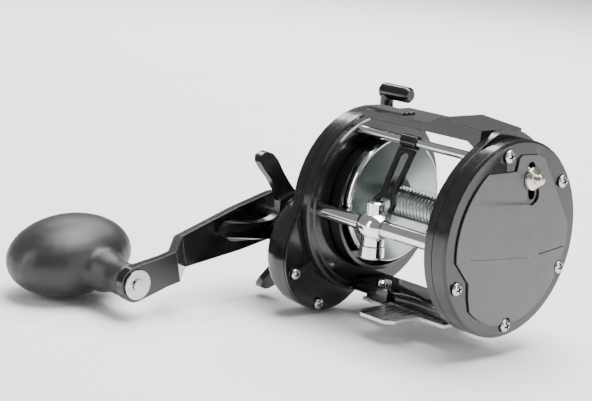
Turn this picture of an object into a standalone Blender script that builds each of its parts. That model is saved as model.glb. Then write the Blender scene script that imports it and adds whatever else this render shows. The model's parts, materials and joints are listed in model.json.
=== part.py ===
"""Level-wind trolling reel as an assembly of separate named pieces.

Metres, +Z up. +X points at the plain side plate, -X at the crank, -Y at the level wind.
The origin is the middle of the foot's bottom face.
"""
import math

import bmesh
import bpy
from mathutils import Vector

MM = 0.001

# Shaft lines, each parallel to X, as (y, z)
PLATE_AXIS = (0.0, 41.5 * MM)
SPOOL_AXIS = (0.6 * MM, 44.1 * MM)
GEAR_CENTRES = 28.0 * MM
GEAR_DIRECTION = math.radians(217.4)
MAIN_AXIS = (SPOOL_AXIS[0] + GEAR_CENTRES * math.cos(GEAR_DIRECTION),
             SPOOL_AXIS[1] + GEAR_CENTRES * math.sin(GEAR_DIRECTION))
WORM_CENTRES = 18.0 * MM
WORM_DIRECTION = math.radians(133.9)
WORM_AXIS = (MAIN_AXIS[0] + WORM_CENTRES * math.cos(WORM_DIRECTION),
             MAIN_AXIS[1] + WORM_CENTRES * math.sin(WORM_DIRECTION))
GUIDE_AXIS = (-16.3 * MM, 75.0 * MM)
LOBE_AXIS = (-22.0 * MM, 19.2 * MM)

# Frame and side plates
PLATE_RADIUS = 42.0 * MM
RING_BORE = 31.0 * MM
CUP_RADIUS = 30.3 * MM
BAR_ENDS = (-32.2 * MM, 33.7 * MM)
LEFT_RING = (34.0 * MM, 38.0 * MM)
RIGHT_RING = (-36.9 * MM, -32.5 * MM)
LEFT_COVER = (38.3 * MM, 45.0 * MM)
BADGE = (45.2 * MM, 45.9 * MM)
LOBE_RADIUS = 27.0 * MM
GEAR_BUMP = 24.2 * MM
HOUSING_X = (-43.2 * MM, -38.8 * MM)
LOBE_OUTER_X = -52.0 * MM
SHOULDER = 3.0 * MM
SHOULDER_HALF = math.radians(34.0)
COVER_SCREW_RADIUS = 36.8 * MM
SCREW_RELIEF = 3.6 * MM
BADGE_RADIUS = 35.5 * MM
COVER_SCREW_ANGLES = (104.0, 38.6, -24.0, 207.3, 271.8)
HOUSING_SCREWS = ((-42.6 * MM, 11.2 * MM), (-27.0 * MM, -4.2 * MM))
YOKE_POSTS = ((9.6 * MM, 32.1 * MM), (-8.4 * MM, 56.1 * MM))

# Foot
FOOT_MIDDLE = 2.0 * MM

# Gears
MAIN_MODULE = 1.0 * MM
MAIN_TEETH = 42
PINION_TEETH = 14
WORM_MODULE = 0.8 * MM
DRIVE_TEETH = 33
WORM_TEETH = 12
ROOT_SHARE = 0.66
TIP_SHARE = 0.16

# Spool and shafts
FLANGE_RADIUS = 28.4 * MM
ARBOR_RADIUS = 7.0 * MM
SPOOL_SHAFT_RADIUS = 3.0 * MM
MAIN_SHAFT_RADIUS = 3.5 * MM
CLEARANCE = 0.12 * MM

# Star, handle and knob
STAR_TIP = 34.0 * MM
STAR_ARMS = 5
STAR_FIRST_TIP = math.radians(42.8)
HANDLE_LENGTH = 87.5 * MM
HANDLE_ANGLE = math.radians(193.5)
KNOB_AXIS = (MAIN_AXIS[0] + HANDLE_LENGTH * math.cos(HANDLE_ANGLE),
             MAIN_AXIS[1] + HANDLE_LENGTH * math.sin(HANDLE_ANGLE))
HANDLE_SHAFT_X = -77.0 * MM
HANDLE_KNOB_X = -66.0 * MM
HANDLE_THICKNESS = 4.0 * MM

# Clicker slot in the plain side plate
SLOT_TOP = (5.74 * MM, 71.97 * MM)
SLOT_BOTTOM = (9.08 * MM, 59.93 * MM)
BUTTON_AXIS = (7.05 * MM, 67.25 * MM)

TO_X = (math.pi / 2, 0.0, math.pi / 2)
ARC_STEPS = 40
FINE_STEPS = 20
SCREW_STEPS = 8

FINISH = {
    "gloss_black": ((0.02, 0.02, 0.022), 0.0, 0.18),
    "gunmetal": ((0.10, 0.10, 0.105), 0.6, 0.4),
    "chrome": ((0.75, 0.75, 0.77), 1.0, 0.12),
    "steel": ((0.55, 0.55, 0.56), 1.0, 0.3),
    "brass": ((0.70, 0.55, 0.28), 1.0, 0.3),
    "aluminium": ((0.62, 0.66, 0.64), 1.0, 0.3),
    "rubber": ((0.045, 0.046, 0.048), 0.0, 0.6),
    "plastic": ((0.03, 0.03, 0.03), 0.0, 0.45),
}


def collection(name):
    made = bpy.data.collections.new(name)
    bpy.context.scene.collection.children.link(made)
    return made


def material(name, finish):
    colour, metallic, roughness = FINISH[finish]
    made = bpy.data.materials.new(name)
    made.use_nodes = True
    shader = made.node_tree.nodes["Principled BSDF"]
    shader.inputs["Base Color"].default_value = (*colour, 1.0)
    shader.inputs["Metallic"].default_value = metallic
    shader.inputs["Roughness"].default_value = roughness
    return made


def place(mesh, name, finish, location=(0.0, 0.0, 0.0), rotation=(0.0, 0.0, 0.0)):
    made = bpy.data.objects.new(name, mesh)
    made.location = location
    made.rotation_euler = rotation
    if finish is None:
        CUTTERS.objects.link(made)
        made.hide_render = True
        made.display_type = "WIRE"
    else:
        PARTS.objects.link(made)
        mesh.materials.append(material(name, finish))
    return made


def turned(name, finish, profile, axis=(0.0, 0.0), steps=FINE_STEPS, ring=False, rotation=TO_X, location=None):
    """Spin (x, radius) pairs, listed from the highest x to the lowest on the outer side."""
    mesh = bpy.data.meshes.new(name)
    points = [(radius, 0.0, x) for x, radius in profile]
    edges = [(i, i + 1) for i in range(len(points) - 1)]
    if ring:
        edges.append((len(points) - 1, 0))
    mesh.from_pydata(points, edges, [])
    where = location or (0.0, axis[0], axis[1])
    made = place(mesh, name, finish, where, rotation)
    spin = made.modifiers.new("Spin", "SCREW")
    spin.steps = steps
    spin.render_steps = steps
    spin.use_merge_vertices = True
    spin.merge_threshold = 0.00001
    return made


def rod(name, finish, low, high, radius, axis, steps=FINE_STEPS, bevel=0.3 * MM):
    profile = [(high, 0.0), (high, radius - bevel), (high - bevel, radius)]
    profile += [(low + bevel, radius), (low, radius - bevel), (low, 0.0)]
    return turned(name, finish, profile, axis, steps)


def sleeve(name, finish, low, high, inner, outer, axis, steps=FINE_STEPS):
    profile = [(high, inner), (high, outer), (low, outer), (low, inner)]
    return turned(name, finish, profile, axis, steps, ring=True)


def circle(centre, radius, steps=FINE_STEPS, phase=0.0):
    turns = [phase + 2 * math.pi * i / steps for i in range(steps)]
    return [(centre[0] + radius * math.cos(t), centre[1] + radius * math.sin(t)) for t in turns]


def flat(name, finish, low, high, outlines, origin=(0.0, 0.0), rotation=TO_X, base=None, bevel=0.0):
    """Extrude closed outlines, the first outer and the rest holes, between two heights."""
    curve = bpy.data.curves.new(name, "CURVE")
    curve.dimensions = "2D"
    curve.fill_mode = "BOTH"
    curve.extrude = (high - low) / 2 - bevel
    curve.bevel_depth = bevel
    curve.bevel_resolution = 0
    curve.offset = -bevel
    for outline in outlines:
        spline = curve.splines.new("POLY")
        spline.points.add(len(outline) - 1)
        for point, (u, v) in zip(spline.points, outline):
            point.co = (u - origin[0], v - origin[1], 0.0, 1.0)
        spline.use_cyclic_u = True
    where = base or ((low + high) / 2, origin[0], origin[1])
    return place(curve, name, finish, where, rotation)


def as_mesh(source, height_shift=0.0):
    """Turn an extruded outline into a welded mesh so that it can be cut."""
    bpy.context.view_layer.update()
    solid = bpy.data.meshes.new_from_object(source)
    work = bmesh.new()
    work.from_mesh(solid)
    bmesh.ops.translate(work, verts=work.verts, vec=Vector((0.0, 0.0, height_shift)))
    bmesh.ops.remove_doubles(work, verts=work.verts, dist=0.000002)
    bmesh.ops.recalc_face_normals(work, faces=work.faces)
    work.to_mesh(solid)
    work.free()
    name = source.name
    finish = source.users_collection[0]
    where = source.location.copy()
    turn = source.rotation_euler.copy()
    bpy.data.objects.remove(source)
    made = bpy.data.objects.new(name, solid)
    made.location = where
    made.rotation_euler = turn
    finish.objects.link(made)
    if finish == CUTTERS:
        made.hide_render = True
        made.display_type = "WIRE"
    return made


def box(name, finish, low, high, bevel=0.0):
    mesh = bpy.data.meshes.new(name)
    work = bmesh.new()
    bmesh.ops.create_cube(work, size=1.0)
    sizes = [high[i] - low[i] for i in range(3)]
    bmesh.ops.scale(work, verts=work.verts, vec=Vector(sizes))
    work.to_mesh(mesh)
    work.free()
    centre = [(high[i] + low[i]) / 2 for i in range(3)]
    made = place(mesh, name, finish, centre)
    if bevel:
        edge = made.modifiers.new("Edges", "BEVEL")
        edge.width = bevel
        edge.segments = 2
    return made


def combine(target, tool, how="DIFFERENCE"):
    step = target.modifiers.new(how.title(), "BOOLEAN")
    step.operation = how
    step.solver = "EXACT"
    step.object = tool
    return target


def drill(target, low, high, radius, axis, steps=FINE_STEPS):
    name = target.name + "_cut" + str(len(target.modifiers))
    profile = [(high, 0.0), (high, radius), (low, radius), (low, 0.0)]
    return combine(target, turned(name, None, profile, axis, steps))


def polar(axis, radius, angle):
    return (axis[0] + radius * math.cos(angle), axis[1] + radius * math.sin(angle))


def union_outline(circles, inside, steps=56):
    """Outline of overlapping circles seen from a point that lies in all of them."""
    outline = []
    for i in range(steps):
        angle = 2 * math.pi * i / steps
        ray = (math.cos(angle), math.sin(angle))
        reach = 0.0
        for centre, radius in circles:
            offset = (centre[0] - inside[0], centre[1] - inside[1])
            along = offset[0] * ray[0] + offset[1] * ray[1]
            square = radius ** 2 - (offset[0] ** 2 + offset[1] ** 2 - along ** 2)
            if square > 0:
                reach = max(reach, along + math.sqrt(square))
        outline.append((inside[0] + reach * ray[0], inside[1] + reach * ray[1]))
    return outline


def housing_outline(shrink):
    circles = [(PLATE_AXIS, PLATE_RADIUS - shrink), (LOBE_AXIS, LOBE_RADIUS - shrink),
               (MAIN_AXIS, GEAR_BUMP - shrink)]
    return union_outline(circles, (-16.0 * MM, 27.0 * MM))


def gear_outline(axis, module, teeth, phase):
    """Straight-flanked teeth with backlash, one tooth centred on the phase angle."""
    root = module * (teeth / 2 - 1.3)
    tip = module * (teeth / 2 + 0.9)
    step = 2 * math.pi / teeth
    outline = []
    for i in range(teeth):
        middle = phase + i * step
        for radius, share in ((root, -ROOT_SHARE), (tip, -TIP_SHARE), (tip, TIP_SHARE), (root, ROOT_SHARE)):
            outline.append(polar(axis, radius, middle + share * step / 2))
    return outline


def gear(name, finish, low, high, axis, module, teeth, phase, bore):
    outlines = [gear_outline(axis, module, teeth, phase), circle(axis, bore)]
    return flat(name, finish, low, high, outlines, origin=axis)


def ring_outline():
    """Plate circle with a low shoulder under the top bar."""
    outline = []
    for i in range(64):
        angle = 2 * math.pi * i / 64
        away = min(1.0, abs(angle - math.pi / 2) / SHOULDER_HALF)
        outline.append(polar(PLATE_AXIS, PLATE_RADIUS + SHOULDER * math.cos(away * math.pi / 2) ** 2, angle))
    return outline


def make_frame():
    left = flat("left_ring", "gloss_black", *LEFT_RING,
                [ring_outline(), circle(PLATE_AXIS, RING_BORE, ARC_STEPS)], origin=PLATE_AXIS)
    left = as_mesh(left)
    for angle in COVER_SCREW_ANGLES:
        drill(left, 34.9 * MM, 39.0 * MM, 1.8 * MM, polar(PLATE_AXIS, COVER_SCREW_RADIUS, math.radians(angle)),
              SCREW_STEPS)
    low, high = RIGHT_RING
    right = turned("right_ring", "gloss_black",
                   [(high, RING_BORE), (high, 38.6 * MM), (high - 0.9 * MM, 39.2 * MM), (high - 0.9 * MM, 41.0 * MM),
                    (high - 1.8 * MM, PLATE_RADIUS), (low, PLATE_RADIUS), (low, 40.5 * MM),
                    (low + 1.4 * MM, 40.3 * MM), (low + 1.4 * MM, RING_BORE)], PLATE_AXIS, 56, ring=True)
    slot_low = (-37.5 * MM, -7.5 * MM, 70.0 * MM)
    slot_high = (-35.45 * MM, 25.5 * MM, 86.0 * MM)
    combine(right, box("lever_slot_cut", None, slot_low, slot_high))
    drill(right, -38.0 * MM, -31.0 * MM, 2.2 * MM, WORM_AXIS)
    for side, span in (("left", (27.3 * MM, 37.6 * MM)), ("right", (-35.3 * MM, -26.2 * MM))):
        make_cup(side, span)
    make_bars()


def make_cup(side, span):
    """Dished plate that closes a ring behind the spool flange."""
    low, high = span
    inner = CUP_RADIUS - 1.8 * MM
    wall = 1.2 * MM
    if side == "left":
        profile = [(high, 10.0 * MM), (high, CUP_RADIUS), (low, CUP_RADIUS), (low, inner),
                   (high - wall, inner), (high - wall, 10.0 * MM)]
    else:
        profile = [(low + wall, 9.5 * MM), (low + wall, inner), (high, inner), (high, CUP_RADIUS),
                   (low, CUP_RADIUS), (low, 9.5 * MM)]
    turned(side + "_cup", "plastic", profile, PLATE_AXIS, ARC_STEPS, ring=True)


def make_bars():
    low, high = BAR_ENDS
    silhouette = [(low / MM, 80.4), (27.0, 80.4), (high / MM, 76.5), (high / MM, 86.0), (12.0, 88.0), (4.5, 84.0),
                  (low / MM, 83.9)]
    silhouette = [(x * MM, z * MM) for x, z in silhouette]
    bar = as_mesh(flat("top_bar", "gloss_black", -14.3 * MM, 12.0 * MM, [silhouette],
                       rotation=(math.pi / 2, 0.0, 0.0), base=(0.0, -1.15 * MM, 0.0)))
    combine(bar, box("lever_relief_cut", None, (low - MM, -4.6 * MM, 79.0 * MM), (-29.9 * MM, 14.0 * MM, 86.0 * MM)))
    under = [(-20.0, 77.5), (-11.0, 77.5), (-4.0, 80.0), (5.0, 80.0), (9.0, 76.8), (18.0, 72.0), (18.0, 60.0),
             (-20.0, 60.0)]
    under = [(y * MM, z * MM) for y, z in under]
    combine(bar, as_mesh(flat("bar_under_cut", None, 20.0 * MM, 40.0 * MM, [under])))
    box("foot_bridge", "gloss_black", (low, -11.5 * MM, 1.9 * MM), (high, 11.5 * MM, 6.2 * MM), 0.6 * MM)
    box("rear_bar", "gloss_black", (low, 35.0 * MM, 26.0 * MM), (high, 38.6 * MM, 42.0 * MM), 0.6 * MM)
    ridges = [(-13.0, 84.3), (-5.0, 84.3), (-5.0, 85.2), (-6.0, 86.0), (-7.2, 85.3), (-8.0, 85.3), (-9.0, 86.1),
              (-10.0, 85.3), (-10.8, 85.3), (-11.9, 86.0), (-13.0, 85.2)]
    ridges = [(y * MM, z * MM) for y, z in ridges]
    flat("thumb_pad", "plastic", -31.0 * MM, -11.0 * MM, [ridges])


def make_left_side():
    low, high = LEFT_COVER
    wall = 1.5 * MM
    cover = turned("side_plate", "gloss_black",
                   [(high, 0.0), (high, 41.0 * MM), (high - 1.0 * MM, PLATE_RADIUS), (low, PLATE_RADIUS),
                    (low, RING_BORE), (high - wall, RING_BORE), (high - wall, 0.0)], PLATE_AXIS, 56)
    boss = turned("bearing_boss_join", None, [(44.1 * MM, 0.0), (44.1 * MM, 8.2 * MM), (40.6 * MM, 8.2 * MM),
                                              (40.6 * MM, 0.0)], SPOOL_AXIS)
    combine(cover, boss, "UNION")
    drill(cover, 39.0 * MM, 42.8 * MM, 6.2 * MM, SPOOL_AXIS)
    for angle in COVER_SCREW_ANGLES:
        drill(cover, 37.0 * MM, 46.5 * MM, 1.8 * MM, polar(PLATE_AXIS, COVER_SCREW_RADIUS, math.radians(angle)),
              SCREW_STEPS)
    combine(cover, slot_cutter("clicker_slot_cut"))
    make_badge()
    for number, angle in enumerate(COVER_SCREW_ANGLES, 1):
        where = polar(PLATE_AXIS, COVER_SCREW_RADIUS, math.radians(angle))
        profile = [(47.0 * MM, 0.0), (46.9 * MM, 1.6 * MM), (46.2 * MM, 2.85 * MM), (45.25 * MM, 2.85 * MM),
                   (45.25 * MM, 1.5 * MM), (35.2 * MM, 1.5 * MM), (35.2 * MM, 0.0)]
        turned("cover_screw_" + str(number), "steel", profile, where, SCREW_STEPS)
    make_clicker()


def slot_cutter(name):
    """Round-ended slot along the line the clicker button travels."""
    direction = math.atan2(SLOT_BOTTOM[1] - SLOT_TOP[1], SLOT_BOTTOM[0] - SLOT_TOP[0])
    outline = slot_outline(direction, 2.0 * MM, 2.0 * MM)
    made = flat(name, None, 41.5 * MM, 47.0 * MM, [outline], origin=BUTTON_AXIS)
    return as_mesh(made)


def slot_outline(direction, top_radius, bottom_radius):
    half = math.pi / 2
    outline = []
    for i in range(7):
        outline.append(polar(SLOT_TOP, top_radius, direction + half + i * math.pi / 6))
    for i in range(7):
        outline.append(polar(SLOT_BOTTOM, bottom_radius, direction - half + i * math.pi / 6))
    return outline


def badge_edge(first, last, steps, reach):
    """Arc of the trim plate's rim, dipping in round any screw head it passes."""
    edge = []
    for i in range(steps + 1):
        degrees = first + (last - first) * i / steps
        radius = reach
        for screw in COVER_SCREW_ANGLES:
            across = math.radians((degrees - screw + 180.0) % 360.0 - 180.0) * COVER_SCREW_RADIUS
            if abs(across) < SCREW_RELIEF:
                radius = min(radius, COVER_SCREW_RADIUS - math.sqrt(SCREW_RELIEF ** 2 - across ** 2))
        edge.append(polar(PLATE_AXIS, radius, math.radians(degrees)))
    return edge


def make_badge():
    """Raised trim plate, relieved round the screws and the clicker slot."""
    outline = badge_edge(125.0, 190.0, 12, BADGE_RADIUS)
    outline += [polar(PLATE_AXIS, reach * MM, math.radians(angle)) for angle, reach in ((210.7, 30.4), (221.0, 33.4))]
    outline += badge_edge(230.0, 359.0, 60, BADGE_RADIUS + 0.8 * MM)
    outline += [polar(PLATE_AXIS, reach * MM, math.radians(angle))
                for angle, reach in ((8.3, 35.7), (67.0, 36.6), (74.0, 37.0), (90.0, 35.9), (94.0, 34.5), (96.5, 29.4))]
    direction = math.atan2(SLOT_BOTTOM[1] - SLOT_TOP[1], SLOT_BOTTOM[0] - SLOT_TOP[0])
    slot = slot_outline(direction, 2.4 * MM, 4.2 * MM)
    flat("badge_plate", "gunmetal", *BADGE, [outline, slot], origin=PLATE_AXIS)


def make_clicker():
    profile = [(51.6 * MM, 0.0), (51.3 * MM, 1.6 * MM), (50.1 * MM, 2.6 * MM), (48.9 * MM, 2.1 * MM),
               (48.6 * MM, 3.4 * MM), (47.3 * MM, 4.9 * MM), (46.2 * MM, 5.2 * MM), (46.2 * MM, 1.8 * MM),
               (40.3 * MM, 1.8 * MM), (40.3 * MM, 0.0)]
    turned("clicker_button", "brass", profile, BUTTON_AXIS, 20)
    tongue = [(-2.6, 2.2), (-2.6, -8.4), (-1.9, -9.2), (-1.0, -8.6), (2.2, -2.0), (2.6, 2.2)]
    tongue = [(BUTTON_AXIS[0] + y * MM, BUTTON_AXIS[1] + z * MM) for y, z in tongue]
    flat("clicker_tongue", "plastic", 38.7 * MM, 40.0 * MM, [tongue], origin=BUTTON_AXIS)
    teeth = []
    for i in range(24):
        turn = 2 * math.pi * i / 24
        teeth.append(polar(SPOOL_AXIS, 9.2 * MM, turn))
        teeth.append(polar(SPOOL_AXIS, 8.2 * MM, turn + math.pi / 24))
    flat("click_gear", "brass", 38.6 * MM, 40.2 * MM, [teeth, circle(SPOOL_AXIS, SPOOL_SHAFT_RADIUS + CLEARANCE)],
         origin=SPOOL_AXIS)


def make_spool():
    bore = SPOOL_SHAFT_RADIUS + CLEARANCE
    half = [(27.0, 3.6), (27.0, 8.0), (24.6, 8.6), (24.6, 26.4), (26.0, 27.0), (26.0, 28.0), (25.2, 28.4),
            (23.0, 28.4), (22.4, 27.8), (22.4, 10.2), (21.0, 9.4), (21.0, 7.0)]
    right = [(-x, radius) for x, radius in reversed(half)]
    half[0] = (27.0, bore / MM)
    right[-1] = (-27.0, bore / MM)
    profile = [(x * MM, radius * MM) for x, radius in half + right]
    turned("spool", "aluminium", profile, SPOOL_AXIS, 40, ring=True)
    rod("spool_shaft", "steel", -49.4 * MM, 42.4 * MM, SPOOL_SHAFT_RADIUS, SPOOL_AXIS)
    for side, low, high in (("left", 40.7 * MM, 42.5 * MM), ("right", -49.0 * MM, -47.0 * MM)):
        outer = 6.9 * MM if side == "right" else 6.0 * MM
        centre = SPOOL_AXIS
        sleeve("spool_bearing_" + side, "steel", low, high, SPOOL_SHAFT_RADIUS + CLEARANCE, outer, centre)


def make_housing():
    low, high = HOUSING_X
    shell = as_mesh(flat("gear_housing", "gloss_black", low, high, [housing_outline(0.0)], origin=PLATE_AXIS))
    lobe = turned("lobe_join", None, [(-40.0 * MM, 0.0), (-40.0 * MM, 26.7 * MM), (-48.0 * MM, 26.7 * MM),
                                      (-50.6 * MM, 25.6 * MM), (LOBE_OUTER_X, 22.8 * MM), (LOBE_OUTER_X, 0.0)],
                  LOBE_AXIS, 36)
    combine(shell, lobe, "UNION")
    raised = turned("raised_join", None, [(-40.2 * MM, 0.0), (-40.2 * MM, 24.0 * MM), (-46.9 * MM, 24.0 * MM),
                                          (-48.2 * MM, 22.7 * MM), (-48.2 * MM, 11.0 * MM), (-50.4 * MM, 11.0 * MM),
                                          (-50.4 * MM, 0.0)], SPOOL_AXIS, 32)
    combine(shell, raised, "UNION")
    nose = turned("nose_join", None, [(-45.0 * MM, 0.0), (-45.0 * MM, 12.0 * MM), (-55.5 * MM, 10.5 * MM),
                                      (-55.5 * MM, 0.0)], MAIN_AXIS, 20)
    combine(shell, nose, "UNION")
    pocket = flat("pocket_cut", None, -41.8 * MM, -37.8 * MM, [housing_outline(1.7 * MM)], origin=PLATE_AXIS)
    combine(shell, as_mesh(pocket))
    drill(shell, -50.0 * MM, -41.0 * MM, 25.0 * MM, LOBE_AXIS, 32)
    drill(shell, -46.4 * MM, -41.1 * MM, 22.2 * MM, SPOOL_AXIS, 28)
    drill(shell, -49.2 * MM, -45.0 * MM, 7.1 * MM, SPOOL_AXIS)
    drill(shell, -49.9 * MM, -49.0 * MM, 4.0 * MM, SPOOL_AXIS)
    drill(shell, -54.0 * MM, -49.0 * MM, 7.4 * MM, MAIN_AXIS)
    drill(shell, -56.5 * MM, -53.0 * MM, MAIN_SHAFT_RADIUS + 0.5 * MM, MAIN_AXIS)
    turned("spool_cap", "gloss_black", [(-50.7 * MM, 0.0), (-50.7 * MM, 7.2 * MM), (-54.2 * MM, 7.2 * MM),
                                        (-55.2 * MM, 6.2 * MM), (-55.2 * MM, 0.0)], SPOOL_AXIS, 24)
    holes = [circle(SPOOL_AXIS, 8.6 * MM), circle(MAIN_AXIS, 2.6 * MM, 20), circle(WORM_AXIS, 2.1 * MM, 16)]
    holes += [circle(post, 1.6 * MM, SCREW_STEPS) for post in YOKE_POSTS + HOUSING_SCREWS]
    flat("gear_plate", "gloss_black", -38.5 * MM, -37.3 * MM, [housing_outline(0.0)] + holes, origin=PLATE_AXIS)
    for number, where in enumerate(HOUSING_SCREWS, 1):
        profile = [(-35.6 * MM, 0.0), (-35.8 * MM, 2.0 * MM), (-37.0 * MM, 2.5 * MM), (-37.0 * MM, 1.3 * MM),
                   (-41.5 * MM, 1.3 * MM), (-41.5 * MM, 0.0)]
        turned("housing_screw_" + str(number), "steel", profile, where, SCREW_STEPS)
    for number, where in enumerate(YOKE_POSTS, 1):
        rod("yoke_post_" + str(number), "steel", -46.2 * MM, -38.0 * MM, 1.4 * MM, where, SCREW_STEPS)


def make_gears():
    along = GEAR_DIRECTION + math.pi
    gear("main_gear", "brass", -41.2 * MM, -39.2 * MM, MAIN_AXIS, MAIN_MODULE, MAIN_TEETH, along,
         MAIN_SHAFT_RADIUS + CLEARANCE)
    gear("drive_gear", "plastic", -37.0 * MM, -35.8 * MM, MAIN_AXIS, WORM_MODULE, DRIVE_TEETH, WORM_DIRECTION,
         2.5 * MM + CLEARANCE)
    gear("worm_gear", "plastic", -37.0 * MM, -35.8 * MM, WORM_AXIS, WORM_MODULE, WORM_TEETH,
         WORM_DIRECTION + math.pi + math.pi / WORM_TEETH, 1.4 * MM + CLEARANCE)
    teeth = gear_outline(SPOOL_AXIS, MAIN_MODULE, PINION_TEETH, GEAR_DIRECTION + math.pi / PINION_TEETH)
    pinion = as_mesh(flat("pinion", "brass", -41.3 * MM, -39.1 * MM,
                          [teeth, circle(SPOOL_AXIS, SPOOL_SHAFT_RADIUS + CLEARANCE)], origin=SPOOL_AXIS))
    neck = turned("pinion_neck_join", None,
                  [(-40.0 * MM, 3.6 * MM), (-40.0 * MM, 4.6 * MM), (-43.0 * MM, 4.6 * MM), (-43.0 * MM, 6.2 * MM),
                   (-43.8 * MM, 6.2 * MM), (-43.8 * MM, 3.6 * MM)], SPOOL_AXIS, FINE_STEPS, ring=True)
    combine(pinion, neck, "UNION")
    yoke = []
    for i in range(24):
        angle = 2 * math.pi * i / 24
        reach = 7.0 + 12.0 * abs(math.cos(angle - math.radians(127.0))) ** 6
        yoke.append(polar(SPOOL_AXIS, reach * MM, angle))
    holes = [circle(SPOOL_AXIS, 4.8 * MM)] + [circle(post, 1.6 * MM, SCREW_STEPS) for post in YOKE_POSTS]
    flat("clutch_yoke", "steel", -42.7 * MM, -41.7 * MM, [yoke] + holes, origin=SPOOL_AXIS)


def make_main_shaft():
    profile = [(-35.6 * MM, 0.0), (-35.6 * MM, 2.5 * MM), (-38.9 * MM, 2.5 * MM), (-38.9 * MM, MAIN_SHAFT_RADIUS),
               (-81.5 * MM, MAIN_SHAFT_RADIUS), (-81.5 * MM, 2.6 * MM), (-86.0 * MM, 2.6 * MM), (-86.0 * MM, 0.0)]
    turned("main_shaft", "steel", profile, MAIN_AXIS)
    bore = MAIN_SHAFT_RADIUS + CLEARANCE
    spans = (("drag_washer_inner", "rubber", -42.5, -41.5, 11.0), ("drag_plate", "steel", -44.0, -42.8, 11.5),
             ("drag_washer_outer", "rubber", -45.3, -44.3, 11.0), ("one_way_bearing", "steel", -53.6, -49.8, 7.2))
    for name, finish, low, high, radius in spans:
        sleeve(name, finish, low * MM, high * MM, bore, radius * MM, MAIN_AXIS)


def make_star():
    outline = []
    for arm in range(STAR_ARMS):
        tip = STAR_FIRST_TIP + 2 * math.pi * arm / STAR_ARMS
        for reach, swing in ((12.5, -0.50), (15.0, -0.30), (19.0, -0.19), (24.0, -0.15), (29.0, -0.155),
                             (32.0, -0.13), (33.6, -0.07), (34.0, 0.0), (33.6, 0.07), (32.0, 0.13), (29.0, 0.155),
                             (24.0, 0.17), (19.0, 0.23), (15.0, 0.36)):
            outline.append(polar(MAIN_AXIS, reach * MM, tip + swing))
    plate = as_mesh(flat("star_wheel", "gloss_black", -64.5 * MM, -60.5 * MM, [outline], origin=MAIN_AXIS))
    work = bmesh.new()
    work.from_mesh(plate.data)
    for vert in work.verts:
        out = max(0.0, math.hypot(vert.co.x, vert.co.y) - 12.0 * MM)
        vert.co.z -= 0.28 * out + 0.0095 * out ** 2 / MM
    work.to_mesh(plate.data)
    work.free()
    hub = turned("star_hub_join", None, [(-57.5 * MM, 0.0), (-57.5 * MM, 8.0 * MM), (-60.0 * MM, 12.5 * MM),
                                         (-65.5 * MM, 12.5 * MM), (-68.0 * MM, 8.5 * MM), (-68.0 * MM, 0.0)],
                 MAIN_AXIS, 32)
    combine(plate, hub, "UNION")
    drill(plate, -75.0 * MM, -55.0 * MM, MAIN_SHAFT_RADIUS + CLEARANCE, MAIN_AXIS)


def handle_outline():
    """Round boss, waist that tapers to the joggle, then a slim bar with a round end."""
    outline = [polar(MAIN_AXIS, 11.0 * MM, HANDLE_ANGLE + math.pi / 2 + i * math.pi / 12) for i in range(13)]
    waist = [(22.0, 10.2), (40.0, 8.6), (54.0, 7.3), (72.0, 6.9)]
    end = [polar(KNOB_AXIS, 7.9 * MM, HANDLE_ANGLE - math.pi / 2 + i * math.pi / 12) for i in range(13)]
    for side, run in ((-1, waist), (1, reversed(waist))):
        for along, half in run:
            reach = math.hypot(along, half) * MM
            outline.append(polar(MAIN_AXIS, reach, HANDLE_ANGLE + side * math.atan2(half, along)))
        if side == -1:
            outline += end
    return outline


def make_handle():
    """Flat bar with a joggle, seen from above, then trimmed to its tapered outline."""
    near, far = HANDLE_SHAFT_X, HANDLE_KNOB_X
    thick = HANDLE_THICKNESS
    side = [(-14.0 * MM, near), (53.0 * MM, near), (65.0 * MM, far), (97.0 * MM, far), (97.0 * MM, far - thick),
            (66.5 * MM, far - thick), (54.5 * MM, near - thick), (-14.0 * MM, near - thick)]
    arm = flat("handle_arm", "gloss_black", -14.0 * MM, 14.0 * MM, [side], base=(0.0, MAIN_AXIS[0], MAIN_AXIS[1]),
               rotation=(0.0, 0.0, 0.0))
    arm = as_mesh(arm)
    work = bmesh.new()
    work.from_mesh(arm.data)
    for vert in work.verts:
        along, x, up = vert.co
        vert.co = (x, along * math.cos(HANDLE_ANGLE) - up * math.sin(HANDLE_ANGLE),
                   along * math.sin(HANDLE_ANGLE) + up * math.cos(HANDLE_ANGLE))
    work.to_mesh(arm.data)
    work.free()
    outline = handle_outline()
    trim = as_mesh(flat("handle_trim_cut", None, -90.0 * MM, -60.0 * MM, [outline], origin=MAIN_AXIS))
    combine(arm, trim, "INTERSECT")
    drill(arm, -90.0 * MM, -60.0 * MM, MAIN_SHAFT_RADIUS + CLEARANCE, MAIN_AXIS)
    drill(arm, -75.0 * MM, -60.0 * MM, 2.5 * MM + CLEARANCE, KNOB_AXIS)
    low = near - thick
    sleeve("handle_nut", "chrome", low - 4.0 * MM, low - 0.5 * MM, 3.2 * MM, 6.5 * MM, MAIN_AXIS, 6)
    turned("nut_screw", "chrome", [(-86.2 * MM, 0.0), (-86.2 * MM, 2.4 * MM), (-87.4 * MM, 2.0 * MM),
                                   (-87.4 * MM, 0.0)], MAIN_AXIS, SCREW_STEPS)
    turned("knob_spindle", "steel", [(-63.6 * MM, 0.0), (-63.7 * MM, 2.75 * MM), (-64.5 * MM, 2.75 * MM),
                                     (-64.5 * MM, 2.5 * MM), (-104.0 * MM, 2.5 * MM), (-104.0 * MM, 0.0)],
           KNOB_AXIS, 20)
    sleeve("knob_washer", "steel", -65.8 * MM, -64.8 * MM, 2.5 * MM + CLEARANCE, 6.5 * MM, KNOB_AXIS, 24)
    make_knob()


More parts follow.
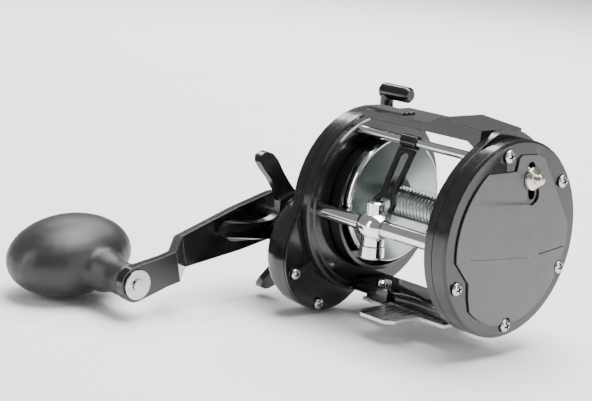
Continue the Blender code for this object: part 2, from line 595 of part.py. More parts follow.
def make_knob():
    """Soft egg-shaped grip on a flared neck, bored for its spindle."""
    neck = turned("knob", "rubber", [(-70.4 * MM, 0.0), (-70.4 * MM, 7.0 * MM), (-74.0 * MM, 7.6 * MM),
                                     (-80.0 * MM, 7.2 * MM), (-88.0 * MM, 9.5 * MM), (-96.0 * MM, 9.0 * MM),
                                     (-96.0 * MM, 0.0)], KNOB_AXIS, 20)
    mesh = bpy.data.meshes.new("knob_grip_join")
    work = bmesh.new()
    bmesh.ops.create_uvsphere(work, u_segments=24, v_segments=14, radius=1.0)
    bmesh.ops.scale(work, verts=work.verts, vec=Vector((23.5 * MM, 29.5 * MM, 17.8 * MM)))
    work.to_mesh(mesh)
    work.free()
    grip = place(mesh, "knob_grip_join", None, (-111.5 * MM, -109.8 * MM, 9.0 * MM), (math.radians(7.0), 0.0, 0.0))
    combine(neck, grip, "UNION")
    drill(neck, -105.0 * MM, -69.0 * MM, 2.5 * MM + CLEARANCE, KNOB_AXIS, 20)


def make_level_wind():
    tube = sleeve("worm_tube", "chrome", *BAR_ENDS, 2.6 * MM, 3.4 * MM, WORM_AXIS, 32)
    low = (-21.5 * MM, WORM_AXIS[0] - 1.7 * MM, WORM_AXIS[1] - 5.0 * MM)
    high = (18.5 * MM, WORM_AXIS[0] + 1.7 * MM, WORM_AXIS[1])
    combine(tube, box("tube_slot_cut", None, low, high))
    turned("worm_shaft", "steel", [(33.0 * MM, 0.0), (33.0 * MM, 2.0 * MM), (-35.0 * MM, 2.0 * MM),
                                   (-35.0 * MM, 1.4 * MM), (-38.0 * MM, 1.4 * MM), (-38.0 * MM, 0.0)],
           WORM_AXIS, 20)
    rod("guide_rod", "chrome", *BAR_ENDS, 2.0 * MM, GUIDE_AXIS, 24)
    make_carriage()
    make_line_guide()


def make_carriage():
    middle = -1.5 * MM
    body = turned("carriage", "chrome", [(4.8 * MM, 3.6 * MM), (4.8 * MM, 4.4 * MM), (3.4 * MM, 5.4 * MM),
                                         (0.6 * MM, 6.3 * MM), (-3.6 * MM, 6.3 * MM), (-6.4 * MM, 5.4 * MM),
                                         (-7.8 * MM, 4.4 * MM), (-7.8 * MM, 3.6 * MM)],
                  WORM_AXIS, 28, ring=True)
    upright = (0.0, 0.0, 0.0)
    where = (middle, WORM_AXIS[0], WORM_AXIS[1])
    stub = turned("carriage_stub_join", None, [(10.6 * MM, 0.0), (10.6 * MM, 3.4 * MM), (10.0 * MM, 4.0 * MM),
                                               (4.2 * MM, 4.0 * MM), (4.2 * MM, 0.0)], steps=24, rotation=upright,
                  location=where)
    combine(body, stub, "UNION")
    lower = turned("carriage_lower_join", None, [(-4.2 * MM, 0.0), (-4.2 * MM, 4.9 * MM), (-8.0 * MM, 4.9 * MM),
                                                 (-8.0 * MM, 0.0)], steps=24, rotation=upright, location=where)
    combine(body, lower, "UNION")
    bore = turned("pawl_bore_cut", None, [(-3.0 * MM, 0.0), (-3.0 * MM, 1.7 * MM), (-9.0 * MM, 1.7 * MM),
                                          (-9.0 * MM, 0.0)], steps=20, rotation=upright, location=where)
    combine(body, bore)
    turned("pawl_cap", "chrome", [(-8.3 * MM, 0.0), (-8.3 * MM, 5.2 * MM), (-12.9 * MM, 5.5 * MM),
                                  (-13.6 * MM, 4.9 * MM), (-13.6 * MM, 0.0)], steps=24, rotation=upright,
           location=where)
    turned("pawl", "brass", [(-2.3 * MM, 0.0), (-2.3 * MM, 0.9 * MM), (-3.4 * MM, 1.4 * MM), (-7.6 * MM, 1.4 * MM),
                             (-7.6 * MM, 0.0)], steps=16, rotation=upright, location=where)


def make_line_guide():
    """Hairpin plate that rises from the carriage to a bush on the guide rod."""
    rise = math.atan2(GUIDE_AXIS[1] - WORM_AXIS[1], GUIDE_AXIS[0] - WORM_AXIS[0])
    length = math.hypot(GUIDE_AXIS[1] - WORM_AXIS[1], GUIDE_AXIS[0] - WORM_AXIS[0])
    middle = -1.5 * MM
    top = (length - 3.3 * MM) / MM
    side = [(4.4, 6.9), (6.0, 6.9), (6.1, 11.0), (3.5, 15.6), (4.3, 21.0), (4.5, top)]
    outer = side + [(-u, v) for u, v in reversed(side)] + [(-4.4, 10.6), (-2.6, 12.8), (2.6, 12.8), (4.4, 10.6)]
    half_slot = [(1.1, 15.2), (2.2, 20.0), (2.6, top - 3.4), (1.6, top - 2.0)]
    inner = half_slot + [(-u, v) for u, v in reversed(half_slot)]
    outlines = [[(u * MM, v * MM) for u, v in outline] for outline in (outer, inner)]
    flat("line_guide", "gloss_black", -1.0 * MM, 1.0 * MM, outlines, rotation=(rise, 0.0, 0.0),
         base=(middle, WORM_AXIS[0], WORM_AXIS[1]))
    sleeve("guide_bush", "gloss_black", middle - 4.2 * MM, middle + 4.2 * MM, 2.0 * MM + CLEARANCE, 3.0 * MM,
           GUIDE_AXIS, 24)


def make_clutch_lever():
    """Cam ring behind the gear plate, with an arm up to the thumb piece."""
    outline = []
    inner = circle(SPOOL_AXIS, 9.5 * MM, 28)
    half = 3.2 * MM
    outer = 13.2 * MM
    start = math.asin(half / outer)
    top = 39.9 * MM
    for i in range(37):
        angle = math.pi / 2 + start + i * (2 * math.pi - 2 * start) / 36
        outline.append(polar(SPOOL_AXIS, outer, angle))
    outline.append((SPOOL_AXIS[0] + half, SPOOL_AXIS[1] + top))
    outline.append((SPOOL_AXIS[0] - half, SPOOL_AXIS[1] + top))
    flat("clutch_cam", "steel", -36.8 * MM, -35.75 * MM, [outline, inner], origin=SPOOL_AXIS)
    stem = turned("clutch_lever", "gloss_black", [(91.0 * MM, 0.0), (91.0 * MM, 3.1 * MM), (84.4 * MM, 3.1 * MM),
                                                  (84.4 * MM, 0.0)], steps=16, rotation=(0.0, 0.0, 0.0),
                  location=(-33.5 * MM, SPOOL_AXIS[0], 0.0))
    finger = turned("lever_finger_join", None,
                    [(-19.6 * MM, 0.0), (-19.6 * MM, 2.4 * MM), (-20.8 * MM, 3.5 * MM), (-35.8 * MM, 3.5 * MM),
                     (-37.0 * MM, 2.4 * MM), (-37.0 * MM, 0.0)], (SPOOL_AXIS[0], 91.2 * MM), 18)
    combine(stem, finger, "UNION")


def make_foot():
    """Stamped foot with a block and a round-headed stud at its front corner."""
    middle = FOOT_MIDDLE / MM
    half = [(7.0, -33.5), (10.3, -29.5), (10.6, -15.5), (24.0, -14.6), (24.0, 14.6), (10.6, 15.5), (10.3, 29.5),
            (7.0, 33.5)]
    outline = [((middle + x) * MM, y * MM) for x, y in half]
    outline += [((middle - x) * MM, y * MM) for x, y in reversed(half)]
    studs = [((middle + side * 18.5) * MM, -8.0 * MM) for side in (-1, 1)]
    holes = [circle(stud, 1.9 * MM, SCREW_STEPS) for stud in studs]
    flat("reel_foot", "steel", 0.0, 1.5 * MM, [outline] + holes, rotation=(0.0, 0.0, 0.0),
         base=(0.0, 0.0, 0.75 * MM))
    low_x = (middle - 22.5) * MM
    box("foot_block", "gloss_black", (low_x, -14.2 * MM, 1.8 * MM), (low_x + 12.5 * MM, -11.9 * MM, 8.4 * MM), 0.4 * MM)
    turned("foot_stud", "chrome", [(10.4 * MM, 0.0), (10.1 * MM, 2.4 * MM), (9.0 * MM, 3.6 * MM), (6.5 * MM, 3.6 * MM),
                                   (6.5 * MM, 0.0)], steps=20, rotation=(0.0, 0.0, 0.0),
           location=(studs[0][0], studs[0][1], 0.0))


def main():
    make_frame()
    make_left_side()
    make_spool()
    make_housing()
    make_gears()
    make_main_shaft()
    make_star()
    make_handle()
    make_level_wind()
    make_clutch_lever()
    make_foot()


for leftover in list(bpy.data.objects):
    bpy.data.objects.remove(leftover)
PARTS = collection("trolling_reel")
CUTTERS = collection("cutters")
CUTTERS.hide_render = True
main()
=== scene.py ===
"""Looks of the level-wind trolling reel: finishes, finer pieces, light and camera.

Everything is in metres: +X is the plain side plate, -X the crank, -Y the level wind, +Z up.
"""

import json
import math

import bmesh
import bpy
from mathutils import Matrix, Vector

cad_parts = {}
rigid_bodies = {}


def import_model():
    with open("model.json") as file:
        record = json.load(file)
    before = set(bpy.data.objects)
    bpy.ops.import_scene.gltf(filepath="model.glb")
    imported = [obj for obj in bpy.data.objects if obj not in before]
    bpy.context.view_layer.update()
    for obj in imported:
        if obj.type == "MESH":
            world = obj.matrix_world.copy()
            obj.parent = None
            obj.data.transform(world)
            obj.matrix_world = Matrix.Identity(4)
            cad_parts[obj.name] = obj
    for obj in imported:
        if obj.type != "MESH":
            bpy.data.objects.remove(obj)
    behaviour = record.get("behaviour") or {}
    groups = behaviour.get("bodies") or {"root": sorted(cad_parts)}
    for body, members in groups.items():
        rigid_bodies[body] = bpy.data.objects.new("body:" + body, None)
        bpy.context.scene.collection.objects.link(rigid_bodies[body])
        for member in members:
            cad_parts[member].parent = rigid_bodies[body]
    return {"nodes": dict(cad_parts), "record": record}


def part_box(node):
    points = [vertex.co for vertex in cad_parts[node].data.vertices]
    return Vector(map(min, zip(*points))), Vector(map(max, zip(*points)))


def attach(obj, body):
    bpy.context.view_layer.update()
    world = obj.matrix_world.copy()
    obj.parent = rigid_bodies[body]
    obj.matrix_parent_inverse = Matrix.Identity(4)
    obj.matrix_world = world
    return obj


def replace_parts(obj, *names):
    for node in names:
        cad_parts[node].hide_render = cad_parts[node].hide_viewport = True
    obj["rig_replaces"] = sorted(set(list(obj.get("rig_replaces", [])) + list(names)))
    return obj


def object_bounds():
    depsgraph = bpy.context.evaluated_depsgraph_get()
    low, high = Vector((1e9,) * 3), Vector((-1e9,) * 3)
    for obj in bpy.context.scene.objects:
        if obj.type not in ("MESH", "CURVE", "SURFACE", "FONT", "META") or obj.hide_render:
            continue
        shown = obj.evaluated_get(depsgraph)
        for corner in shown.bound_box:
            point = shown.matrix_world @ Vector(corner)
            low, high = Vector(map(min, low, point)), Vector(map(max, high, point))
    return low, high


MM = 0.001
ACROSS_X = Matrix(((0, 0, 1, 0), (1, 0, 0, 0), (0, 1, 0, 0), (0, 0, 0, 1)))

# Reel, in millimetres as (y, z) and in degrees
PLATE_AXIS = (0.0, 41.5)
SPOOL_AXIS = (0.6, 44.1)
SCREW_ANGLES = (104.0, 38.6, -24.0, 207.3, 271.8)
SCREW_CIRCLE = 36.8
COVER_SCREW_TOP = 46.95
HOUSING_SCREW_TOP = -35.6
CROSS_TURN = 0.35
CROSS_WIDTH = 0.42
FLANGE_RADIUS = 28.4
ARBOR_RADIUS = 7.0
GROOVE_COUNT = 21
GROOVE_SPAN = 39.2
GROOVE_FLOOR = 6.45
SPOOL_SEGMENTS = 144
KNOB_VOXEL = 0.9

# Edges of the refined pieces
EDGE_WIDTH = 0.18
SMOOTH_ANGLE = math.radians(28.0)
TURNED_ANGLE = math.radians(35.0)
FLAT_ANGLE = math.radians(0.6)
WELD_DISTANCE = 0.000004

# Stage
FLOOR_REACH = 6.0
FLOOR_GAP = 0.4
LIGHT_TARGET = (-0.02, 0.0, 0.04)

# Camera
CAMERA_TARGET = Vector((-85.0, 0.0, 30.3)) * MM
CAMERA_DISTANCE = 701.0 * MM
CAMERA_AZIMUTH = math.radians(46.0)
CAMERA_ELEVATION = math.radians(11.9)
CAMERA_ROLL = math.radians(5.15)
CAMERA_LENS = 89.6


# ---------------------------------------------------------------- finishes

def new_material(name, colour, metallic, roughness, coat=0.0):
    made = bpy.data.materials.new(name)
    made.use_nodes = True
    shader = made.node_tree.nodes["Principled BSDF"]
    shader.inputs["Base Color"].default_value = (*colour, 1.0)
    shader.inputs["Metallic"].default_value = metallic
    shader.inputs["Roughness"].default_value = roughness
    shader.inputs["Coat Weight"].default_value = coat
    shader.inputs["Coat Roughness"].default_value = 0.06
    return made


def node(made, kind):
    return made.node_tree.nodes.new(kind)


def link(made, source, out, target, into):
    made.node_tree.links.new(source.outputs[out], target.inputs[into])


def noise(made, scale, detail=4.0, stretch=(1.0, 1.0, 1.0)):
    place = node(made, "ShaderNodeTexCoord")
    squeeze = node(made, "ShaderNodeMapping")
    squeeze.inputs["Scale"].default_value = stretch
    pattern = node(made, "ShaderNodeTexNoise")
    pattern.inputs["Scale"].default_value = scale
    pattern.inputs["Detail"].default_value = detail
    link(made, place, "Object", squeeze, "Vector")
    link(made, squeeze, "Vector", pattern, "Vector")
    return pattern


def vary(made, pattern, socket, low, high):
    """Run a pattern between two values of a shader input."""
    shader = made.node_tree.nodes["Principled BSDF"]
    ramp = node(made, "ShaderNodeMapRange")
    ramp.inputs["From Min"].default_value = 0.3
    ramp.inputs["From Max"].default_value = 0.7
    ramp.inputs["To Min"].default_value = low
    ramp.inputs["To Max"].default_value = high
    link(made, pattern, "Fac", ramp, "Value")
    link(made, ramp, "Result", shader, socket)


def tint(made, pattern, dark, light):
    """Run a pattern between two base colours."""
    shader = made.node_tree.nodes["Principled BSDF"]
    ramp = node(made, "ShaderNodeValToRGB")
    ramp.color_ramp.elements[0].color = (*dark, 1.0)
    ramp.color_ramp.elements[0].position = 0.35
    ramp.color_ramp.elements[1].color = (*light, 1.0)
    ramp.color_ramp.elements[1].position = 0.65
    link(made, pattern, "Fac", ramp, "Fac")
    link(made, ramp, "Color", shader, "Base Color")


def bumped(made, pattern, strength, distance):
    shader = made.node_tree.nodes["Principled BSDF"]
    bump = node(made, "ShaderNodeBump")
    bump.inputs["Strength"].default_value = strength
    bump.inputs["Distance"].default_value = distance
    link(made, pattern, "Fac", bump, "Height")
    link(made, bump, "Normal", shader, "Normal")


def gloss_black():
    """Clear-coated black casting: faint orange peel and fine dust in the gloss."""
    made = new_material("gloss black", (0.004, 0.004, 0.0045), 0.0, 0.14, coat=0.4)
    vary(made, noise(made, 900.0), "Roughness", 0.09, 0.20)
    bumped(made, noise(made, 1400.0, 2.0), 0.05, 0.00003)
    return made


def frame_black():
    made = new_material("frame black", (0.006, 0.006, 0.0065), 0.0, 0.18, coat=0.25)
    vary(made, noise(made, 500.0), "Roughness", 0.13, 0.24)
    tint(made, noise(made, 260.0), (0.004, 0.004, 0.0045), (0.008, 0.008, 0.0085))
    bumped(made, noise(made, 2500.0, 2.0), 0.05, 0.00003)
    return made


def gunmetal():
    """Metallic lacquer with flake and a soft satin sheen."""
    made = new_material("gunmetal", (0.07, 0.07, 0.072), 0.7, 0.42, coat=0.15)
    tint(made, noise(made, 5200.0, 1.0), (0.085, 0.085, 0.085), (0.14, 0.14, 0.142))
    vary(made, noise(made, 160.0), "Roughness", 0.36, 0.46)
    bumped(made, noise(made, 5200.0, 1.0), 0.08, 0.00003)
    return made


def chrome():
    made = new_material("chrome", (0.82, 0.82, 0.84), 1.0, 0.08)
    vary(made, noise(made, 420.0, 6.0), "Roughness", 0.05, 0.14)
    bumped(made, noise(made, 700.0, 2.0), 0.03, 0.00004)
    return made


def steel():
    """Stamped stainless with a rolled grain along the sheet."""
    made = new_material("stainless", (0.56, 0.56, 0.55), 1.0, 0.3)
    grain = noise(made, 900.0, 5.0, (1.0, 0.05, 1.0))
    vary(made, grain, "Roughness", 0.2, 0.4)
    tint(made, grain, (0.48, 0.48, 0.47), (0.64, 0.64, 0.63))
    bumped(made, grain, 0.12, 0.00003)
    return made


def brass():
    made = new_material("brass", (0.66, 0.50, 0.24), 1.0, 0.24)
    vary(made, noise(made, 700.0, 4.0), "Roughness", 0.16, 0.34)
    tint(made, noise(made, 300.0), (0.58, 0.43, 0.19), (0.72, 0.56, 0.30))
    return made


def anodised():
    """Turned aluminium: concentric tool marks under a pale grey-green film."""
    made = new_material("anodised", (0.34, 0.38, 0.37), 1.0, 0.26)
    place = node(made, "ShaderNodeTexCoord")
    shift = node(made, "ShaderNodeMapping")
    shift.inputs["Location"].default_value = (0.0, -SPOOL_AXIS[0] * MM, -SPOOL_AXIS[1] * MM)
    rings = node(made, "ShaderNodeTexWave")
    rings.wave_type = "RINGS"
    rings.rings_direction = "X"
    rings.inputs["Scale"].default_value = 900.0
    rings.inputs["Distortion"].default_value = 0.4
    rings.inputs["Detail"].default_value = 2.0
    link(made, place, "Object", shift, "Vector")
    link(made, shift, "Vector", rings, "Vector")
    vary(made, rings, "Roughness", 0.20, 0.30)
    bumped(made, rings, 0.05, 0.00002)
    return made


def rubber():
    """Soft-touch grip: fine matt grain with slight handling polish."""
    made = new_material("soft grip", (0.012, 0.0125, 0.0135), 0.0, 0.42)
    shader = made.node_tree.nodes["Principled BSDF"]
    shader.inputs["Sheen Weight"].default_value = 0.06
    shader.inputs["Sheen Roughness"].default_value = 0.45
    vary(made, noise(made, 60.0, 3.0), "Roughness", 0.36, 0.46)
    bumped(made, noise(made, 3800.0, 3.0), 0.12, 0.00003)
    return made


def nickel():
    """Warm plated brass, brightest where a thumb rubs it."""
    made = new_material("nickel", (0.66, 0.63, 0.55), 1.0, 0.2)
    vary(made, noise(made, 600.0, 4.0), "Roughness", 0.12, 0.28)
    tint(made, noise(made, 200.0), (0.58, 0.53, 0.43), (0.74, 0.72, 0.66))
    return made


def recess_black():
    """Painted shade: near-black for the unlit bottom of a recess."""
    made = new_material("painted shade black", (0.002, 0.002, 0.002), 0.0, 0.7)
    vary(made, noise(made, 900.0), "Roughness", 0.6, 0.8)
    return made


def plastic():
    made = new_material("moulded black", (0.009, 0.009, 0.009), 0.0, 0.4)
    vary(made, noise(made, 800.0), "Roughness", 0.36, 0.52)
    bumped(made, noise(made, 3000.0, 2.0), 0.2, 0.00004)
    return made


FINISH = {key: make() for key, make in (
    ("gloss_black", gloss_black), ("frame_black", frame_black), ("gunmetal", gunmetal),
    ("chrome", chrome), ("steel", steel), ("brass", brass), ("anodised", anodised),
    ("rubber", rubber), ("plastic", plastic), ("nickel", nickel), ("recess_black", recess_black))}

NODE_FINISH = {
    "frame_black": ("left_ring", "right_ring", "side_plate", "gear_plate", "gear_housing"),
    "gunmetal": ("badge_plate",),
    "chrome": ("worm_tube", "guide_rod", "handle_nut", "nut_screw", "carriage", "pawl_cap",
               "foot_stud"),
    "steel": ("reel_foot", "knob_washer", "spool_shaft", "main_shaft", "knob_spindle", "worm_shaft",
              "clutch_cam", "clutch_yoke", "drag_plate", "one_way_bearing"),
    "brass": ("main_gear", "pinion", "click_gear", "pawl"),
    "anodised": ("spool",),
    "rubber": ("knob", "drag_washer_inner", "drag_washer_outer"),
    "plastic": ("thumb_pad", "clicker_tongue", "drive_gear", "worm_gear"),
}


def finish_of(name):
    for finish, names in NODE_FINISH.items():
        if name in names:
            return FINISH[finish]
    if "screw" in name or "post" in name or "bearing" in name:
        return FINISH["steel"]
    if name == "clicker_button":
        return FINISH["nickel"]
    return FINISH["gloss_black"]


# ---------------------------------------------------------------- pieces

def body_of_node(name):
    for body, members in frame["record"]["behaviour"]["bodies"].items():
        if name in members:
            return body


def add_piece(name, mesh, finish, body, *stands_for):
    made = bpy.data.objects.new(name, mesh)
    bpy.context.scene.collection.objects.link(made)
    mesh.materials.clear()
    mesh.materials.append(finish)
    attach(made, body)
    if stands_for:
        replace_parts(made, *stands_for)
    return made


def soften(made):
    """Small rounded edges, as on a moulded or tumbled part."""
    edge = made.modifiers.new("Edges", "BEVEL")
    edge.width = EDGE_WIDTH * MM
    edge.segments = 2
    edge.limit_method = "ANGLE"
    edge.angle_limit = SMOOTH_ANGLE
    edge.harden_normals = True
    edge.miter_outer = "MITER_ARC"


def smooth_round_faces(work, angle):
    """Shade faces smooth, and keep edges sharper than the angle."""
    for face in work.faces:
        face.smooth = True
    for edge in work.edges:
        edge.smooth = len(edge.link_faces) == 2 and edge.calc_face_angle(0.0) < angle


def refine(name):
    """The node's own shape, welded, with its edges broken and round faces smooth."""
    mesh = frame["nodes"][name].data.copy()
    work = bmesh.new()
    work.from_mesh(mesh)
    bmesh.ops.remove_doubles(work, verts=work.verts, dist=WELD_DISTANCE)
    bmesh.ops.dissolve_limit(work, angle_limit=FLAT_ANGLE, verts=work.verts, edges=work.edges)
    smooth_round_faces(work, SMOOTH_ANGLE)
    work.to_mesh(mesh)
    work.free()
    mesh.validate()
    made = add_piece(name + "_fine", mesh, finish_of(name), body_of_node(name), name)
    soften(made)


def ring_of(work, x, radius, segments):
    """Vertices of one turned ring, or the single vertex where the profile meets its axis."""
    if radius <= 0.0:
        return [work.verts.new((0.0, 0.0, x * MM))]
    turns = [2 * math.pi * i / segments for i in range(segments)]
    reach = radius * MM
    return [work.verts.new((reach * math.cos(t), reach * math.sin(t), x * MM)) for t in turns]


def lathe(name, profile, axis, finish, body, *stands_for, segments):
    """Turn (x, radius) points in millimetres about a line along X.

    A profile that starts off the axis is joined up into a ring.
    """
    work = bmesh.new()
    rings = [ring_of(work, x, radius, segments) for x, radius in profile]
    closed = len(rings[0]) > 1
    pairs = list(zip(rings, rings[1:])) + ([(rings[-1], rings[0])] if closed else [])
    for upper, lower in pairs:
        for i in range(segments):
            j = (i + 1) % segments
            corners = [upper[i % len(upper)], lower[i % len(lower)],
                       lower[j % len(lower)], upper[j % len(upper)]]
            unique = list(dict.fromkeys(corners))
            if len(unique) > 2:
                work.faces.new(unique)
    smooth_round_faces(work, TURNED_ANGLE)
    bmesh.ops.recalc_face_normals(work, faces=work.faces)
    mesh = bpy.data.meshes.new(name)
    work.to_mesh(mesh)
    work.free()
    mesh.transform(Matrix.Translation(Vector((0.0, axis[0], axis[1])) * MM) @ ACROSS_X)
    return add_piece(name, mesh, finish, body, *stands_for)


def axis_of(name):
    low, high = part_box(name)
    middle = (low + high) / 2 / MM
    return (middle.y, middle.z)


# ---------------------------------------------------------------- stage

def add_area(name, place, size, power, target):
    lamp = bpy.data.lights.new(name, "AREA")
    lamp.shape = "RECTANGLE"
    lamp.size = size[0]
    lamp.size_y = size[1]
    lamp.energy = power
    made = bpy.data.objects.new(name, lamp)
    made.location = place
    made.rotation_euler = (Vector(target) - Vector(place)).to_track_quat("-Z", "Y").to_euler()
    bpy.context.scene.collection.objects.link(made)


def make_camera():
    back = Vector((math.sin(CAMERA_AZIMUTH) * math.cos(CAMERA_ELEVATION),
                   -math.cos(CAMERA_AZIMUTH) * math.cos(CAMERA_ELEVATION),
                   math.sin(CAMERA_ELEVATION)))
    right = Vector((math.cos(CAMERA_AZIMUTH), math.sin(CAMERA_AZIMUTH), 0.0))
    up = back.cross(right)
    turned_right = math.cos(CAMERA_ROLL) * right + math.sin(CAMERA_ROLL) * up
    turned_up = -math.sin(CAMERA_ROLL) * right + math.cos(CAMERA_ROLL) * up
    lens = bpy.data.cameras.new("camera")
    lens.lens = CAMERA_LENS
    lens.sensor_width = 36.0
    lens.clip_start = 0.02
    lens.clip_end = 20.0
    made = bpy.data.objects.new("camera", lens)
    made.matrix_world = Matrix.Translation(CAMERA_TARGET + back * CAMERA_DISTANCE) @ Matrix(
        (turned_right, turned_up, back)).transposed().to_4x4()
    bpy.context.scene.collection.objects.link(made)
    bpy.context.scene.camera = made


def make_floor():
    mesh = bpy.data.meshes.new("floor")
    height = CAD_BOUNDS[0][2] - FLOOR_GAP * MM
    corners = [(x * FLOOR_REACH, y * FLOOR_REACH, height) for x, y in ((-1, -1), (1, -1), (1, 1), (-1, 1))]
    mesh.from_pydata(corners, [], [(0, 1, 2, 3)])
    made = bpy.data.objects.new("floor", mesh)
    bpy.context.scene.collection.objects.link(made)
    pale = new_material("pale floor", (0.93, 0.93, 0.93), 0.0, 0.6)
    vary(pale, noise(pale, 30.0), "Roughness", 0.55, 0.65)
    mesh.materials.append(pale)


def make_light():
    world = bpy.data.worlds.new("studio")
    world.use_nodes = True
    background = world.node_tree.nodes["Background"]
    background.inputs["Color"].default_value = (1.0, 1.0, 1.0, 1.0)
    background.inputs["Strength"].default_value = 0.3
    bpy.context.scene.world = world
    add_area("top", (0.0, 0.1, 1.1), (1.0, 0.8), 34.0, LIGHT_TARGET)
    add_area("side", (0.9, 0.05, 0.35), (0.16, 0.7), 4.0, LIGHT_TARGET)
    add_area("front", (-0.35, -0.95, 0.35), (0.2, 0.8), 4.0, LIGHT_TARGET)
    add_area("background", (-0.9, 0.9, 1.2), (1.6, 1.0), 60.0, (-1.3, 1.4, 0.0))


# ---------------------------------------------------------------- the reel

def cross_recess(made, depth, reach, axis, face_x):
    """Cut a cross into a screw head."""
    work = bmesh.new()
    for turn in (CROSS_TURN, CROSS_TURN + math.pi / 2):
        size = (depth * 2.0, reach * 2.0, reach * CROSS_WIDTH)
        bar = bmesh.ops.create_cube(work, size=1.0)["verts"]
        bmesh.ops.scale(work, verts=bar, vec=Vector(size) * MM)
        bmesh.ops.rotate(work, verts=bar, matrix=Matrix.Rotation(turn, 3, "X"))
    mesh = bpy.data.meshes.new("recess")
    bmesh.ops.translate(work, verts=work.verts, vec=Vector((face_x, axis[0], axis[1])) * MM)
    work.to_mesh(mesh)
    work.free()
    mesh.materials.append(FINISH["recess_black"])
    tool = bpy.data.objects.new("recess", mesh)
    bpy.context.scene.collection.objects.link(tool)
    # The near-black finish added to the screw head is painted shade for its crossed recess.
    made.data.materials.append(FINISH["recess_black"])
    cut = made.modifiers.new("Cross", "BOOLEAN")
    cut.operation = "DIFFERENCE"
    cut.solver = "EXACT"
    cut.use_self = True
    cut.object = tool
    bake(made)
    bpy.data.objects.remove(tool)


def bake(made):
    """Keep the evaluated shape and drop the modifiers."""
    bpy.context.view_layer.update()
    evaluated = made.evaluated_get(bpy.context.evaluated_depsgraph_get())
    shaped = bpy.data.meshes.new_from_object(evaluated)
    made.modifiers.clear()
    made.data = shaped


def make_screws():
    """Domed heads with a crossed recess, on the cover and on the gear housing."""
    for number, angle in enumerate(SCREW_ANGLES, 1):
        axis = (PLATE_AXIS[0] + SCREW_CIRCLE * math.cos(math.radians(angle)),
                PLATE_AXIS[1] + SCREW_CIRCLE * math.sin(math.radians(angle)))
        name = "cover_screw_" + str(number)
        profile = [(COVER_SCREW_TOP, 0.0), (46.9, 1.0), (46.65, 1.9), (46.2, 2.55), (45.8, 2.82),
                   (45.3, 2.85), (45.25, 1.5), (36.0, 1.5), (36.0, 0.0)]
        made = lathe(name + "_fine", profile, axis, FINISH["steel"], "frame", name, segments=40)
        cross_recess(made, 0.9, 1.75, axis, COVER_SCREW_TOP)
    for number in (1, 2):
        name = "housing_screw_" + str(number)
        axis = axis_of(name)
        profile = [(HOUSING_SCREW_TOP, 0.0), (-35.65, 1.0), (-35.9, 1.9), (-36.5, 2.45),
                   (-37.0, 2.5), (-37.0, 1.3), (-41.0, 1.3), (-41.0, 0.0)]
        made = lathe(name + "_fine", profile, axis, FINISH["steel"], "frame", name, segments=36)
        cross_recess(made, 0.8, 1.5, axis, HOUSING_SCREW_TOP)


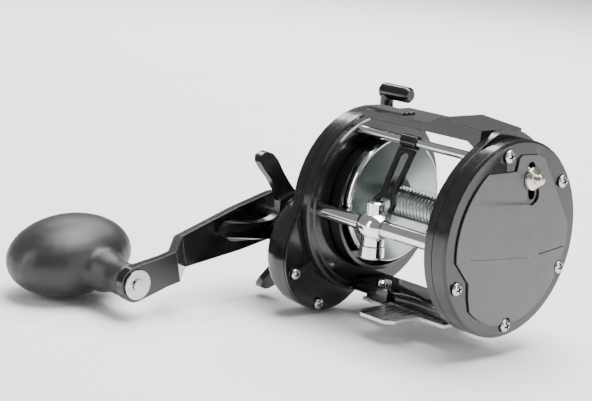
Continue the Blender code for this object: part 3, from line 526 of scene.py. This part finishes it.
def make_spool():
    """Polished rims, dished flanges and an arbor with fine line-holding grooves."""
    right = [(-20.4, ARBOR_RADIUS), (-20.6, 9.4), (-21.8, 9.6), (-22.2, 10.4), (-22.4, 11.0),
             (-22.4, 27.3), (-22.7, 28.0), (-23.4, FLANGE_RADIUS), (-25.3, FLANGE_RADIUS),
             (-25.9, 28.0), (-26.0, 27.3), (-24.6, 26.6), (-24.6, 8.6), (-27.0, 8.0), (-27.0, 3.15)]
    left = [(-x, radius) for x, radius in reversed(right)]
    grooves = []
    for i in range(GROOVE_COUNT):
        x = GROOVE_SPAN / 2 - GROOVE_SPAN * i / (GROOVE_COUNT - 1)
        grooves += [(x + 0.62, ARBOR_RADIUS), (x + 0.3, GROOVE_FLOOR),
                    (x - 0.3, GROOVE_FLOOR), (x - 0.62, ARBOR_RADIUS)]
    axis = axis_of("spool")
    lathe("spool_fine", left + grooves + right, axis, FINISH["anodised"], "spool_set", "spool",
          segments=SPOOL_SEGMENTS)
    rims = ((-22.35, 27.2), (-22.5, 28.0), (-23.2, 28.44), (-25.4, 28.44), (-26.0, 28.1), (-26.1, 27.2))
    for side, flip in (("left", -1.0), ("right", 1.0)):
        profile = [(flip * x, radius) for x, radius in (rims if flip > 0 else reversed(rims))]
        lathe("spool_rim_" + side, profile, axis, FINISH["chrome"], "spool_set", segments=SPOOL_SEGMENTS)


def make_knob():
    """Grip and flared neck fused into one soft form."""
    mesh = frame["nodes"]["knob"].data.copy()
    made = add_piece("knob_grip", mesh, FINISH["rubber"], "grip", "knob")
    fuse = made.modifiers.new("Fuse", "REMESH")
    fuse.mode = "VOXEL"
    fuse.voxel_size = KNOB_VOXEL * MM
    melt = made.modifiers.new("Melt", "SMOOTH")
    melt.factor = 0.8
    melt.iterations = 14
    bake(made)
    for face in made.data.polygons:
        face.use_smooth = True
    made.data.materials.clear()
    made.data.materials.append(FINISH["rubber"])


def strip(name, points, width, x, finish):
    """Shallow line or step on the trim plate, following (y, z) points from the plate's axis height."""
    curve = bpy.data.curves.new(name, "CURVE")
    curve.dimensions = "3D"
    curve.bevel_depth = width / 2 * MM
    curve.bevel_resolution = 3
    spline = curve.splines.new("POLY")
    spline.points.add(len(points) - 1)
    for point, (y, z) in zip(spline.points, points):
        point.co = (x * MM, y * MM, (PLATE_AXIS[1] + z) * MM, 1.0)
    shape = bpy.data.objects.new(name, curve)
    bpy.context.scene.collection.objects.link(shape)
    mesh = bpy.data.meshes.new_from_object(shape)
    bpy.data.objects.remove(shape)
    made = add_piece(name, mesh, FINISH[finish], "frame")


def make_trim_lines():
    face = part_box("badge_plate")[1].x / MM
    # The trim line is painted shade: a near-black tube for the shade in a shallow groove.
    strip("trim_line", [(17.9, -7.6), (34.6, -5.8)], 0.7, face - 0.2, "recess_black")
    step = [(-26.0, -5.6), (-22.8, -6.3), (8.5, -8.3), (11.5, -9.8), (22.6, -21.3)]
    strip("trim_step", step, 0.9, face - 0.33, "gunmetal")


def refine_plain_nodes(done):
    for name in sorted(frame["nodes"]):
        if name not in done:
            refine(name)


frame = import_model()
CAD_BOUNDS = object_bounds()
make_camera()
make_floor()
make_light()
make_screws()
make_spool()
make_knob()
make_trim_lines()
SHAPED = {name for made in bpy.data.objects for name in made.get("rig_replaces", [])}
refine_plain_nodes(SHAPED)
